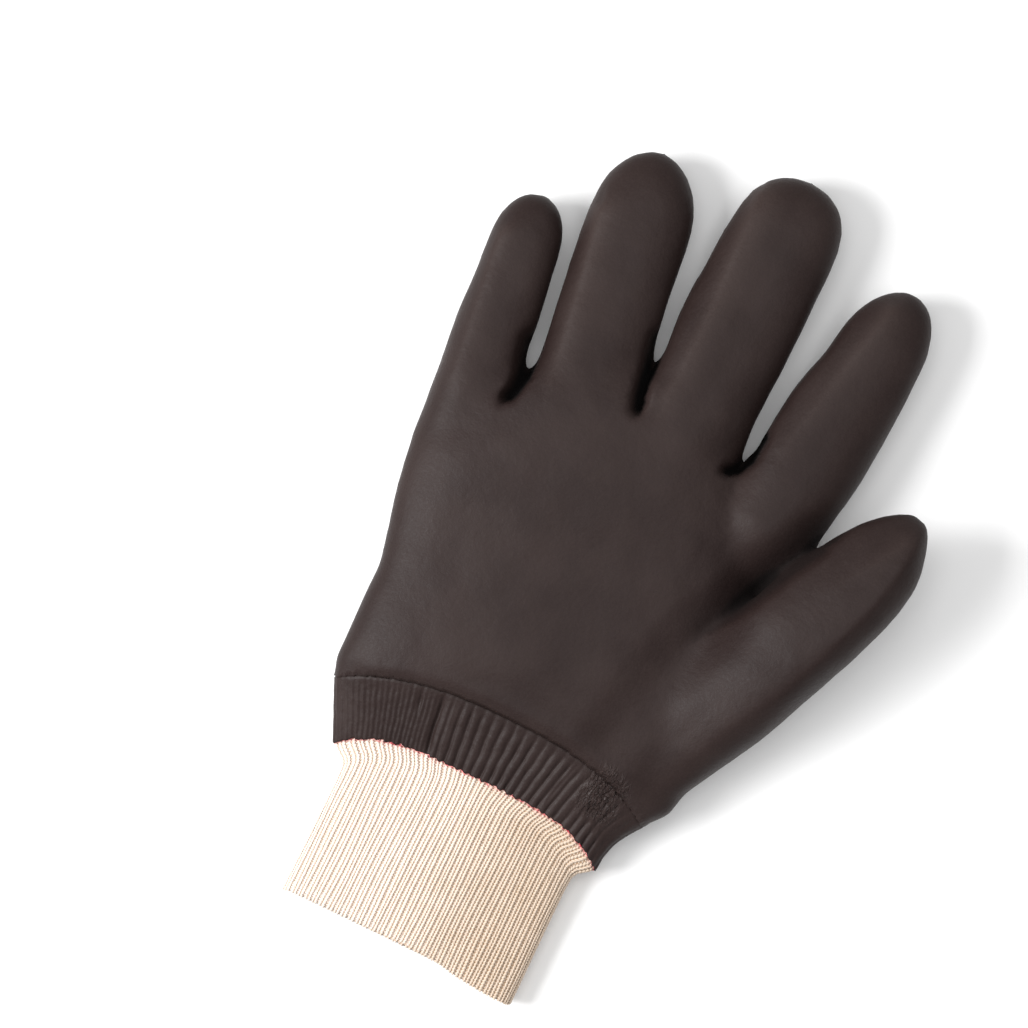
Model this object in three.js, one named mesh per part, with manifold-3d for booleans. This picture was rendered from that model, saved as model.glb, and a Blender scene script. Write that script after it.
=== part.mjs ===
// A right-hand work glove: a jersey liner dipped in soft brown plastic, on a rib-knit wrist.
// It lies on the back of the hand with the palm up, and the dipped fingers keep their round form.
// Sizes are millimetres. +Z is up, +Y points to the fingertips and +X to the thumb side.
// The origin is on the surface that the glove lies on, under the middle of its box.
import * as THREE from "three";
import { mergeVertices } from "three/addons/utils/BufferGeometryUtils.js";
import Module from "manifold-3d";

const wasm = await Module();
wasm.setup();

// The dipped hand
const palmWidth = 129;
const palmLength = 130;
const palmThickness = 29;
const wristWidth = 108;
const wristThickness = 24;
const handWall = 2;
const fingerRootDepth = 30;
const thumbLength = 120;
const thumbWidth = 33.5;
const thumbThickness = 25;
const thumbClearance = 0.83;

// The ribbed band, which is the part of the knit wrist that went into the dip
const bandHeight = 18.5;
const bandWall = 1.2;
const bandStep = 0.6;
const coatEdgeWidth = 90.5;
const coatEdgeThickness = 18;
const seamArch = 11.5;
const coatEdgeArch = 9.8;
const backArchShare = 0.4;

// The knit wrist, from its open mouth up to the wrist seam inside the band
const cuffLength = 48.5;
const knitWidth = 79.5;
const knitThickness = 14;
const knitWall = 1.7;
const gatherLength = 7;
const mouthWave = 1.5;

// The gap between pieces, the least width of a hollow at its narrow ends, and the part of a fingertip's
// quarter turn that its last section reaches.
const pieceGap = 0.4;
const leastHollow = 0.6;
const tipReach = 0.985;
const seamY = cuffLength + bandHeight;

// How many points a section has, and how many sections a finger has along its length
const palmPoints = 36;
const fingerPoints = 18;
const fingerSections = 11;

// How square a section's outline is: 2 is an ellipse, and more is nearer to a rectangle
const palmTopSquareness = 2.35;
const palmUnderSquareness = 3;
const fingerSquareness = 2.3;
const thumbSquareness = 2.7;
const cuffSquareness = 2.7;

// How flat the arch of the wrist seam and of the coat edge is across the middle: 2 is a parabola
const seamFlatness = 2.6;
const coatEdgeFlatness = 4;

// Sections of the palm from just above the wrist seam to the web between the fingers. y and arch are
// shares of palmLength, left and right are shares of palmWidth, and low and top are shares of
// palmThickness. A section's middle runs ahead of its sides by arch, on the back by backArch times
// that, as flat as flatness.
const palmSections = [
  { y: 0.023, left: -0.43, right: 0.438, low: -0.02, top: 0.91, arch: 0.088, backArch: 0.45, flatness: 2.6 },
  { y: 0.1, left: -0.431, right: 0.452, low: -0.04, top: 0.96, arch: 0.08, backArch: 0.5, flatness: 2.4 },
  { y: 0.19, left: -0.431, right: 0.462, low: -0.05, top: 0.97, arch: 0.07, backArch: 0.7, flatness: 2.2 },
  { y: 0.29, left: -0.432, right: 0.466, low: -0.05, top: 0.96, arch: 0.07, backArch: 1.0, flatness: 2.0 },
  { y: 0.37, left: -0.452, right: 0.455, low: -0.05, top: 0.96, arch: 0.085, backArch: 1.0, flatness: 2.0 },
  { y: 0.46, left: -0.476, right: 0.425, low: -0.05, top: 0.98, arch: 0.13, backArch: 1.0, flatness: 2.0 },
  { y: 0.54, left: -0.492, right: 0.395, low: -0.04, top: 0.98, arch: 0.19, backArch: 1.0, flatness: 2.0 },
  { y: 0.6, left: -0.5, right: 0.395, low: 0.0, top: 0.94, arch: 0.265, backArch: 1.0, flatness: 2.0 },
  { y: 0.634, left: -0.503, right: 0.4, low: 0.06, top: 0.85, arch: 0.317, backArch: 1.0, flatness: 2.0 },
  { y: 0.65, left: -0.503, right: 0.4, low: 0.16, top: 0.72, arch: 0.345, backArch: 1.0, flatness: 2.0 },
  { y: 0.655, left: -0.5, right: 0.398, low: 0.32, top: 0.54, arch: 0.352, backArch: 1.0, flatness: 2.0 },
];

// The four fingers. x and y are where the finger leaves the palm, as shares of palmWidth and palmLength
// from the seam. lean turns it to the thumb side, in degrees. Widths and depths are at its root, its
// middle and its pad, as shares of palmWidth and palmThickness. cap is the share of its length that
// rounds off to the tip, and blunt is how square that rounding is. lift is how high the pad's underside
// lies, as a share of palmThickness.
const fingers = [
  { name: "little", x: -0.417, y: 0.77, lean: -6.6, length: 61.8,
    widths: [0.197, 0.189, 0.167], depths: [0.79, 0.67, 0.57], cap: 0.26, blunt: 2.1, lift: 0.14 },
  { name: "ring", x: -0.1775, y: 0.855, lean: -7.5, length: 78.9,
    widths: [0.251, 0.256, 0.248], depths: [0.91, 0.78, 0.67], cap: 0.285, blunt: 2.0, lift: 0.1 },
  { name: "middle", x: 0.077, y: 0.87, lean: 1.7, length: 87.8,
    widths: [0.265, 0.281, 0.265], depths: [0.95, 0.81, 0.71], cap: 0.25, blunt: 2.3, lift: 0.09 },
  { name: "index", x: 0.366, y: 0.87, lean: 7.2, length: 71.3,
    widths: [0.254, 0.256, 0.214], depths: [0.93, 0.78, 0.655], cap: 0.295, blunt: 1.95, lift: 0.14 },
];

// How a finger's root narrows inside the palm. back is a share of fingerRootDepth, and size of the section.
const rootSections = [
  { back: 1, size: 0.5 },
  { back: 0.74, size: 0.85 },
  { back: 0.5, size: 1 },
];

// Sections of the thumb along its centreline, which starts at thumbRoot inside the palm's heel and
// heads past the web beside the index finger, so that the thumb's side clears the finger by
// thumbClearance. along is a share of thumbLength, side and width of thumbWidth, and height and depth
// of thumbThickness. roll turns the section about the centreline, in degrees, so that the outer edge
// stands higher.
const thumbRoot = { x: 0.341, y: 0.069 };
const thumbSections = [
  { along: 0.0, side: -0.06, height: 0.5, width: 0.42, depth: 0.5, roll: 4 },
  { along: 0.07, side: -0.05, height: 0.53, width: 0.76, depth: 0.78, roll: 6 },
  { along: 0.15, side: -0.066, height: 0.57, width: 0.86, depth: 0.9, roll: 9 },
  { along: 0.23, side: -0.078, height: 0.63, width: 0.94, depth: 0.97, roll: 12 },
  { along: 0.32, side: -0.085, height: 0.73, width: 0.985, depth: 1.0, roll: 14 },
  { along: 0.43, side: -0.082, height: 0.85, width: 1.01, depth: 1.0, roll: 16 },
  { along: 0.54, side: -0.078, height: 0.94, width: 1.015, depth: 0.99, roll: 18 },
  { along: 0.64, side: -0.078, height: 1.0, width: 1.0, depth: 0.95, roll: 19 },
  { along: 0.74, side: -0.079, height: 1.04, width: 0.95, depth: 0.89, roll: 20 },
  { along: 0.82, side: -0.081, height: 1.06, width: 0.87, depth: 0.81, roll: 20 },
  { along: 0.885, side: -0.086, height: 1.07, width: 0.75, depth: 0.71, roll: 20 },
  { along: 0.935, side: -0.092, height: 1.07, width: 0.585, depth: 0.57, roll: 20 },
  { along: 0.97, side: -0.104, height: 1.07, width: 0.4, depth: 0.41, roll: 20 },
  { along: 0.99, side: -0.125, height: 1.07, width: 0.24, depth: 0.26, roll: 20 },
  { along: 1.0, side: -0.15, height: 1.07, width: 0.08, depth: 0.08, roll: 20 },
];

// The lines between the fingers, from the little finger's outer side to the index finger's outer side.
// x and y are where a line leaves the web, as shares of palmWidth and palmLength from the seam. lean is
// its direction.
const fingerParting = [
  { x: -0.62, y: 0.76, lean: -6.6 },
  { x: -0.3256, y: 0.885, lean: -7 },
  { x: -0.06, y: 1.014, lean: -3 },
  { x: 0.238, y: 0.905, lean: 4.5 },
  { x: 0.491, y: 0.772, lean: 6 },
];

// Where the thumb leaves the palm's side, as a share of thumbLength.
const thumbParting = 0.47;

// One point of a superellipse with half sizes of one, at a turn around it in radians.
function roundedUnit(turn, squareness) {
  const c = Math.cos(turn);
  const s = Math.sin(turn);
  return {
    u: Math.sign(c) * Math.abs(c) ** (2 / squareness),
    v: Math.sign(s) * Math.abs(s) ** (2 / squareness),
  };
}

// A section of the palm or cuff: a rounded outline across X and Z whose middle is pushed along +Y by
// its arch. over and under are how square its upper and its lower half are. Nothing goes below floor,
// so the outline is flat where the glove rests.
function archedRing({ y, left, right, low, top, arch, backArch, flatness, over, under }, floor) {
  const halfWidth = (right - left) / 2;
  const halfHeight = (top - low) / 2;
  const ring = [];
  for (let i = 0; i < palmPoints; i++) {
    const { u, v } = roundedUnit((2 * Math.PI * i) / palmPoints, i < palmPoints / 2 ? over : under);
    const bulge = (v >= 0 ? arch : arch * backArch) * (1 - Math.abs(u) ** flatness);
    const z = (low + top) / 2 + halfHeight * v;
    ring.push(new THREE.Vector3((left + right) / 2 + halfWidth * u, y + bulge, Math.max(z, floor)));
  }
  return ring;
}

// A section across a finger or the thumb, square to its centreline.
function tubeRing(centre, sideways, upwards, halfWidth, halfDepth, squareness, floor) {
  const ring = [];
  for (let i = 0; i < fingerPoints; i++) {
    const { u, v } = roundedUnit((2 * Math.PI * i) / fingerPoints, squareness);
    const point = centre.clone()
      .addScaledVector(sideways, halfWidth * u)
      .addScaledVector(upwards, halfDepth * v);
    point.z = Math.max(point.z, floor);
    ring.push(point);
  }
  return ring;
}

// The triangles between each ring and the next. Rings turn from +X to +Z and follow each other along +Y.
function wallTriangles(rings, closed) {
  const n = rings[0].length;
  const triangles = [];
  const last = closed ? rings.length : rings.length - 1;
  for (let r = 0; r < last; r++) {
    const next = (r + 1) % rings.length;
    for (let i = 0; i < n; i++) {
      const j = (i + 1) % n;
      const [a, b, c, d] = [r * n + i, r * n + j, next * n + j, next * n + i];
      triangles.push(a, d, c, a, c, b);
    }
  }
  return triangles;
}

// The triangles that close one ring, in strips between its upper and its lower half.
function lidTriangles(ringIndex, n, facesBack) {
  const at = (i) => ringIndex * n + (i % n);
  const triangles = [];
  for (let i = 0; i < n / 2; i++) {
    const [a, b, c, d] = [at(i), at(i + 1), at(n - i - 1), at(n - i)];
    if (i > 0) triangles.push(...(facesBack ? [a, c, d] : [a, d, c]));
    if (i < n / 2 - 1) triangles.push(...(facesBack ? [a, b, c] : [a, c, b]));
  }
  return triangles;
}

function solidFrom(rings, triangles) {
  const geometry = new THREE.BufferGeometry();
  const positions = rings.flat().flatMap((p) => [p.x, p.y, p.z]);
  geometry.setAttribute("position", new THREE.Float32BufferAttribute(positions, 3));
  geometry.setIndex(triangles);
  return solidOf(geometry);
}

// The solid inside a geometry that has positions only.
function solidOf(geometry) {
  const merged = mergeVertices(geometry, 1e-4);
  return new wasm.Manifold(new wasm.Mesh({
    numProp: 3,
    vertProperties: merged.attributes.position.array,
    triVerts: new Uint32Array(merged.index.array),
  }));
}

// A closed solid through a row of sections, with a lid at each end.
function loft(rings) {
  const n = rings[0].length;
  return solidFrom(rings, [
    ...wallTriangles(rings, false),
    ...lidTriangles(0, n, true),
    ...lidTriangles(rings.length - 1, n, false),
  ]);
}

// A tube open at both ends: up its outside, across the far edge, and back down its inside.
function openTube(outerRings, innerRings) {
  const rings = [...outerRings, ...innerRings.toReversed()];
  return solidFrom(rings, wallTriangles(rings, true));
}

function lerp(a, b, t) {
  return a + (b - a) * t;
}

// The value of a smooth curve through three values at 0, 0.5 and 1.
function throughThree([start, middle, end], t) {
  const s = Math.min(Math.max(t, 0), 1);
  return start * (1 - s) * (1 - 2 * s) + middle * 4 * s * (1 - s) + end * s * (2 * s - 1);
}

// The palm, taken in by inset on every side. An inset palm runs on past the wrist seam, to cut its opening.
function palmSolid(inset) {
  const webY = palmSections.at(-1).y;
  const sections = palmSections.map((s) => {
    const low = Math.max(s.low * palmThickness, 0) + inset;
    return {
      y: seamY + s.y * palmLength - (inset * s.y) / webY,
      left: s.left * palmWidth + inset,
      right: s.right * palmWidth - inset,
      low,
      top: Math.max(s.top * palmThickness - inset, low + leastHollow),
      arch: s.arch * palmLength,
      backArch: s.backArch,
      flatness: s.flatness,
      over: palmTopSquareness,
      under: palmUnderSquareness,
    };
  });
  const wrist = wristSection(inset);
  const end = inset > 0 ? { ...wrist, y: seamY - bandHeight } : wristSection(2 * handWall);
  const rings = [wrist, ...sections].map((s) => archedRing(s, inset));
  return loft([archedRing(end, end.low), ...rings]);
}

// The hand's outline at the wrist seam, taken in by inset. The band's upper edge follows it.
function wristSection(inset) {
  return {
    y: seamY,
    left: -wristWidth / 2 + inset,
    right: wristWidth / 2 - inset,
    low: inset,
    top: wristThickness - inset,
    arch: seamArch,
    backArch: backArchShare,
    flatness: seamFlatness,
    over: cuffSquareness,
    under: cuffSquareness,
  };
}

// One finger, taken in by inset, from inside the palm to its tip.
function fingerSolid(finger, inset) {
  const lean = THREE.MathUtils.degToRad(finger.lean);
  const forward = new THREE.Vector3(Math.sin(lean), Math.cos(lean), 0);
  const sideways = new THREE.Vector3(Math.cos(lean), -Math.sin(lean), 0);
  const upwards = new THREE.Vector3(0, 0, 1);
  const start = new THREE.Vector3(finger.x * palmWidth, seamY + finger.y * palmLength, 0);
  const straight = finger.length * (1 - finger.cap);
  const capLength = finger.length - straight - inset;
  const stations = rootSections.map(({ back, size }) => ({ distance: -back * fingerRootDepth, taper: size }));
  const straightSections = Math.round(fingerSections / 2);
  for (let i = 0; i < straightSections; i++) {
    stations.push({ distance: (straight * i) / straightSections, taper: 1 });
  }
  const capSections = fingerSections - straightSections;
  for (let i = 0; i <= capSections; i++) {
    const reach = Math.sin((Math.PI / 2) * Math.min(i / capSections, tipReach));
    stations.push({
      distance: straight + capLength * reach,
      taper: (1 - reach ** finger.blunt) ** (1 / finger.blunt),
    });
  }
  const rings = stations.map(({ distance, taper }) => {
    const t = distance / straight;
    const halfWidth = (throughThree(finger.widths, t) * palmWidth) / 2 - inset;
    const halfDepth = (throughThree(finger.depths, t) * palmThickness) / 2 - inset;
    const height = halfDepth + inset + finger.lift * palmThickness * Math.min(Math.max(t, 0), 1);
    const centre = start.clone().addScaledVector(forward, distance).setZ(height);
    return tubeRing(centre, sideways, upwards, halfWidth * taper, halfDepth * taper, fingerSquareness, inset);
  });
  return loft(rings);
}

// The thumb's two directions and the point that its centreline starts from.
function thumbFrame() {
  const start = new THREE.Vector3(thumbRoot.x * palmWidth, seamY + thumbRoot.y * palmLength, 0);
  const web = fingerParting.at(-1);
  const toWeb = new THREE.Vector3(web.x * palmWidth, seamY + web.y * palmLength, 0).sub(start);
  const past = Math.asin((thumbWidth / 2 + thumbClearance) / toWeb.length());
  const heading = Math.atan2(toWeb.x, toWeb.y) + past;
  return {
    forward: new THREE.Vector3(Math.sin(heading), Math.cos(heading), 0),
    across: new THREE.Vector3(Math.cos(heading), -Math.sin(heading), 0),
    start,
  };
}

// The thumb, taken in by inset, from the heel of the palm to its tip.
function thumbSolid(inset) {
  const { forward, across, start } = thumbFrame();
  const rings = thumbSections.map((s) => {
    const roll = THREE.MathUtils.degToRad(s.roll);
    const sideways = across.clone().multiplyScalar(Math.cos(roll)).setZ(Math.sin(roll));
    const upwards = across.clone().multiplyScalar(-Math.sin(roll)).setZ(Math.cos(roll));
    const centre = start.clone()
      .addScaledVector(forward, s.along * (thumbLength - inset))
      .addScaledVector(across, s.side * thumbWidth)
      .setZ(s.height * thumbThickness);
    const halfWidth = Math.max((s.width * thumbWidth) / 2 - inset, leastHollow / 2);
    const halfDepth = Math.max((s.depth * thumbThickness) / 2 - inset, leastHollow / 2);
    return tubeRing(centre, sideways, upwards, halfWidth, halfDepth, thumbSquareness, inset);
  });
  return loft(rings);
}

// The palm and four fingers as one solid, taken in by inset.
function fingeredSolid(inset) {
  return fingers.reduce((hand, finger) => hand.add(fingerSolid(finger, inset)), palmSolid(inset));
}

// All the space over a four-cornered outline, to part the hand into its pieces.
function spaceOver(corners) {
  const height = 4 * palmThickness;
  const outline = new THREE.Shape(corners);
  const geometry = new THREE.ExtrudeGeometry(outline, { depth: height, bevelEnabled: false });
  geometry.deleteAttribute("normal");
  geometry.deleteAttribute("uv");
  return solidOf(geometry.translate(0, 0, -height / 2));
}

// The space of one finger beyond its webs. It starts back nearer to the palm by the gap.
function fingerSpace(index, gap) {
  const near = fingerParting.slice(index, index + 2)
    .map(({ x, y }) => new THREE.Vector2(x * palmWidth, seamY + y * palmLength - gap));
  const far = fingerParting.slice(index, index + 2).map(({ lean }, side) => {
    const turn = THREE.MathUtils.degToRad(lean);
    return near[side].clone().addScaledVector(new THREE.Vector2(Math.sin(turn), Math.cos(turn)), palmLength);
  });
  return spaceOver([near[0], near[1], far[1], far[0]]);
}

// The space of the thumb beyond the palm's side. It starts back nearer to the palm by the gap.
function thumbSpace(gap) {
  const { forward, across, start } = thumbFrame();
  const corner = (side, along) => {
    const point = start.clone().addScaledVector(across, side * thumbLength).addScaledVector(forward, along);
    return new THREE.Vector2(point.x, point.y);
  };
  const near = thumbParting * thumbLength - gap;
  const far = near + thumbLength;
  return spaceOver([corner(-1, near), corner(1, near), corner(1, far), corner(-1, far)]);
}

// The palm's piece of the dipped hand, with the thumb's heel, up to where the fingers and the thumb
// leave it.
function palmPiece() {
  const outside = fingeredSolid(0).add(thumbSolid(0));
  const hollow = fingeredSolid(handWall).add(thumbSolid(handWall));
  const thumbAndGap = thumbSolid(-pieceGap).intersect(thumbSpace(pieceGap));
  const whole = outside.subtract(hollow).subtract(thumbAndGap);
  return fingers.reduce((palm, _, index) => palm.subtract(fingerSpace(index, pieceGap)), whole);
}

// The outline of the ribbed band's outside, from its coat edge at 0 to the wrist seam at 1, taken in by
// inset.
function bandSection(t, inset) {
  const seam = wristSection(bandStep + inset);
  return {
    y: lerp(cuffLength, seamY - pieceGap, t),
    left: lerp(-coatEdgeWidth / 2 + inset, seam.left, t),
    right: lerp(coatEdgeWidth / 2 - inset, seam.right, t),
    low: inset,
    top: lerp(coatEdgeThickness - inset, seam.top, t),
    arch: lerp(coatEdgeArch, seamArch, t),
    backArch: backArchShare,
    flatness: lerp(coatEdgeFlatness, seamFlatness, t),
    over: cuffSquareness,
    under: cuffSquareness,
  };
}

function bandSolid() {
  const steps = [0, 0.35, 0.7, 1];
  const ringsAt = (inset) => steps.map((t) => archedRing(bandSection(t, inset), inset));
  return openTube(ringsAt(0), ringsAt(bandWall));
}

// The outline of the knit wrist below the band, from its mouth at 0 to where it starts to gather at 1.
function knitSection(t, inset) {
  const gather = cuffLength - gatherLength;
  return {
    y: gather * t,
    left: -knitWidth / 2 + inset,
    right: knitWidth / 2 - inset,
    low: inset,
    top: knitThickness - inset,
    arch: lerp(mouthWave, coatEdgeArch, t),
    backArch: backArchShare,
    flatness: coatEdgeFlatness,
    over: cuffSquareness,
    under: cuffSquareness,
  };
}

function knitSolid() {
  const open = [0, 0.3, 0.6, 0.85, 1];
  const tucked = [0, 0.5, 1];
  const underBand = bandWall + pieceGap;
  const ringsAt = (inset) => [
    ...open.map((t) => archedRing(knitSection(t, inset), inset)),
    ...tucked.map((t) => archedRing(bandSection(t, underBand + inset), underBand + inset)),
  ];
  return openTube(ringsAt(0), ringsAt(knitWall));
}

function meshOf(solid, name, material) {
  const { vertProperties, triVerts } = solid.getMesh();
  const geometry = new THREE.BufferGeometry();
  geometry.setAttribute("position", new THREE.BufferAttribute(vertProperties, 3));
  geometry.setIndex(new THREE.BufferAttribute(triVerts, 1));
  geometry.computeVertexNormals();
  const mesh = new THREE.Mesh(geometry, material);
  mesh.name = name;
  return mesh;
}

const brownPlastic = new THREE.MeshStandardMaterial({ color: 0x433a38, roughness: 0.55, metalness: 0 });
const ribbedPlastic = new THREE.MeshStandardMaterial({ color: 0x3d3533, roughness: 0.6, metalness: 0 });
const creamKnit = new THREE.MeshStandardMaterial({ color: 0xf1dfca, roughness: 0.95, metalness: 0 });

const glove = new THREE.Group();
glove.add(meshOf(palmPiece(), "coated_palm", brownPlastic));
const fingeredShell = fingeredSolid(0).subtract(fingeredSolid(handWall));
fingers.forEach(({ name }, index) => {
  glove.add(meshOf(fingeredShell.intersect(fingerSpace(index, 0)), `${name}_finger`, brownPlastic));
});
const thumbShell = thumbSolid(0).subtract(thumbSolid(handWall));
glove.add(meshOf(thumbShell.intersect(thumbSpace(0)), "thumb", brownPlastic));
glove.add(meshOf(bandSolid(), "coated_rib_band", ribbedPlastic));
glove.add(meshOf(knitSolid(), "knit_wrist", creamKnit));

// The glove's box is brought over the origin, with its lowest point on the surface.
const box = new THREE.Box3().setFromObject(glove);
const middle = box.getCenter(new THREE.Vector3());
glove.position.set(-middle.x, -middle.y, -box.min.z);

export default glove;
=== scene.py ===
"""A right-hand work glove that lies palm up: a dipped plastic coat over a jersey hand and a rib-knit wrist.

Lengths in the classes are millimetres in the glove's own frame. X runs to the thumb side from the middle of
the wrist, Y to the fingertips from the mouth of the cuff, and Z up from the surface that the glove lies on.
GloveFrame turns them into the scene's metres. Points are rows of X, Y and Z, and Values one number for each.
"""

import logging
import math
from contextlib import contextmanager
from dataclasses import dataclass, field
from enum import Enum
from typing import Any, Callable, Iterator, Optional, Sequence, Union

import bpy
import numpy as np
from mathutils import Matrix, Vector, noise


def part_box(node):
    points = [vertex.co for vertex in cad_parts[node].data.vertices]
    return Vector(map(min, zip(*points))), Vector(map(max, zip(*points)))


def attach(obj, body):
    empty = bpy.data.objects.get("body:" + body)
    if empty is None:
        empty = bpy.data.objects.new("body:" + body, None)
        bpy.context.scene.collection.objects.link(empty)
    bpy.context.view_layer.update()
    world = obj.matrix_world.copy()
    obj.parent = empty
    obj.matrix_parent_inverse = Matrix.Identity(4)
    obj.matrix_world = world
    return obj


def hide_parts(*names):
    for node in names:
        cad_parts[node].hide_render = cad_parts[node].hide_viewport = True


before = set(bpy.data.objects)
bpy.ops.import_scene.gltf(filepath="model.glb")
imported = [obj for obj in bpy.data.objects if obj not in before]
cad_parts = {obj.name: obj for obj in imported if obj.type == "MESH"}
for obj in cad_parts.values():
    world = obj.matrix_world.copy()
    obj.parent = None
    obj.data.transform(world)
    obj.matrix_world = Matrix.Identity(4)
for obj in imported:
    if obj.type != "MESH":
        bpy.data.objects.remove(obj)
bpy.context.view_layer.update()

MM = 0.001
FULL_TURN = 2 * math.pi
BACK_ARCH = 0.4  # how far lines round the wrist bow underneath, as a share of their bow on top
LEAST_HEIGHT = 0.05  # no point of the coat lies lower
TOP_HEIGHT = 9.0  # what lies higher on the wrist belongs to the palm side
FINGER_NODES = ("little_finger", "ring_finger", "middle_finger", "index_finger")
LOG = logging.getLogger("glove")

Points = np.ndarray
Values = np.ndarray
Colour = tuple[float, float, float, float]
Path = tuple[tuple[float, float], ...]
Piece = bpy.types.Object
Material = bpy.types.Material
Number = Union["Signal", float]


class Slot(Enum):
    """The record's material slots."""

    COAT = "brown_plastic"
    RIBBED_COAT = "ribbed_plastic"
    KNIT = "cream_knit"


class FoldShape(Enum):
    """How a fold is formed across its width."""

    SLOT = "slot"
    SOFT = "soft"
    CREST = "crest"


def read_vertices(piece: Piece, key: str = "co") -> Points:
    """Three numbers of each vertex of a mesh object.

    Args:
        piece: The mesh object.
        key: "co" for the places in metres, or "normal" for the normals.

    Returns:
        One row for each vertex.
    """
    numbers = np.empty(len(piece.data.vertices) * 3, np.float32)
    piece.data.vertices.foreach_get(key, numbers)
    return numbers.reshape(-1, 3).astype(float)


def write_vertices(piece: Piece, points: Points) -> None:
    """Moves the vertices of a mesh object to these places in metres."""
    piece.data.vertices.foreach_set("co", points.astype(np.float32).ravel())
    piece.data.update()


@dataclass(frozen=True)
class GloveFrame:
    """Where the glove's own frame lies in the scene.

    Attributes:
        middle_x: The middle of the wrist, in metres.
        mouth_y: The mouth of the cuff, in metres.
    """

    middle_x: float
    mouth_y: float

    @staticmethod
    def from_cuff() -> "GloveFrame":
        """Reads the frame off the knit wrist, which is even about the middle."""
        low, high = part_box("knit_wrist")
        return GloveFrame((low[0] + high[0]) / 2, low[1])

    def to_scene(self, points: Points) -> Points:
        """Turns glove millimetres into scene metres."""
        return points * MM + np.array([self.middle_x, self.mouth_y, 0.0])

    def read(self, piece: Piece) -> Points:
        """The vertices of a mesh object at the origin, in glove millimetres."""
        return (read_vertices(piece) - np.array([self.middle_x, self.mouth_y, 0.0])) / MM

    def write(self, piece: Piece, points: Points) -> None:
        """Moves the vertices of a mesh object to these places in glove millimetres."""
        write_vertices(piece, self.to_scene(points))


def select_only(piece: Piece) -> None:
    """Selects one object and makes it active.

    Args:
        piece: The object to work on.
    """
    bpy.ops.object.select_all(action="DESELECT")
    piece.select_set(True)
    bpy.context.view_layer.objects.active = piece


@contextmanager
def editing(piece: Piece, chosen: Optional[Values] = None) -> Iterator[None]:
    """Holds an object in edit mode with vertices selected.

    Args:
        piece: The mesh object.
        chosen: True for each vertex to select, or None to select them all.

    Yields:
        Nothing.
    """
    select_only(piece)
    bpy.ops.object.mode_set(mode="EDIT")
    bpy.ops.mesh.select_mode(type="VERT")
    bpy.ops.mesh.select_all(action="SELECT" if chosen is None else "DESELECT")
    if chosen is not None:
        bpy.ops.object.mode_set(mode="OBJECT")
        piece.data.vertices.foreach_set("select", chosen.astype(bool))
        bpy.ops.object.mode_set(mode="EDIT")
    yield
    bpy.ops.object.mode_set(mode="OBJECT")


def add_piece(name: str, add: Callable[..., Any], **settings: Any) -> Piece:
    """Adds a primitive, with everything else deselected.

    Args:
        name: The new object's name.
        add: The operator that adds it.
        **settings: The operator's settings.

    Returns:
        The new object.
    """
    bpy.ops.object.select_all(action="DESELECT")
    add(**settings)
    piece = bpy.context.object
    piece.name = name
    return piece


def apply_modifier(piece: Piece, kind: str, **settings: Any) -> None:
    """Adds a modifier, sets it and applies it.

    Args:
        piece: The object to finish.
        kind: The modifier's type.
        **settings: The modifier's properties.
    """
    select_only(piece)
    modifier = piece.modifiers.new(kind.lower(), kind)
    for key, value in settings.items():
        setattr(modifier, key, value)
    bpy.ops.object.modifier_apply(modifier=modifier.name)


def shade_smooth(piece: Piece) -> None:
    """Shades an object smoothly."""
    select_only(piece)
    bpy.ops.object.shade_smooth()


def store_values(piece: Piece, name: str, values: Values) -> None:
    """Stores a number on each vertex under a name, for the material to read."""
    attribute = piece.data.attributes.new(name, "FLOAT", "POINT")
    attribute.data.foreach_set("value", values.astype(np.float32))


def wear(piece: Piece, *materials: Material) -> None:
    """Gives a piece its materials.

    Args:
        piece: The finished piece.
        *materials: The materials that replace what it has.
    """
    piece.data.materials.clear()
    for material in materials:
        piece.data.materials.append(material)


def smoothstep(values: Values) -> Values:
    """Eases from 0 to 1 as a value goes from 0 to 1."""
    held = np.clip(values, 0, 1)
    return held * held * (3 - 2 * held)


def noise_at(x: Values, y: Values, z: Union[Values, float], size: float = 1.0) -> Values:
    """Smooth noise between about -1 and 1, whose bumps lie a size apart."""
    points = np.stack(np.broadcast_arrays(x, y, z), axis=1) / size
    return np.array([noise.noise(Vector(point)) for point in points])


def noise_round(share: Values, size: float, offset: float = 0.0) -> Values:
    """Smooth noise that closes on itself, at shares of the way round the wrist."""
    turn = share * FULL_TURN
    return noise_at(np.cos(turn) + offset, np.sin(turn) + offset, offset, size)


def distance_to_path(points: Points, path: Path) -> tuple[Values, Values, Values]:
    """How far each point lies from a path on plan.

    Args:
        points: Rows whose first two numbers are X and Y.
        path: The path's corners, from the fingers towards the wrist.

    Returns:
        The distance of each point, the share of the path's length at its nearest place, and whether the
        point lies on the path's thumb side.
    """
    corners = np.array(path, float)
    steps = np.diff(corners, axis=0)
    lengths = np.linalg.norm(steps, axis=1)
    starts = np.concatenate([[0], np.cumsum(lengths)])
    nearest = np.full(len(points), np.inf)
    shares = np.zeros(len(points))
    thumb_side = np.zeros(len(points), bool)
    for index, (step, length) in enumerate(zip(steps, lengths)):
        away = points[:, :2] - corners[index]
        along = np.clip(away @ step / length**2, 0, 1)
        distance = np.linalg.norm(away - along[:, None] * step, axis=1)
        closer = distance < nearest
        nearest = np.where(closer, distance, nearest)
        shares = np.where(closer, (starts[index] + along * length) / starts[-1], shares)
        thumb_side = np.where(closer, step[0] * away[:, 1] - step[1] * away[:, 0] > 0, thumb_side)
    return nearest, shares, thumb_side


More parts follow.
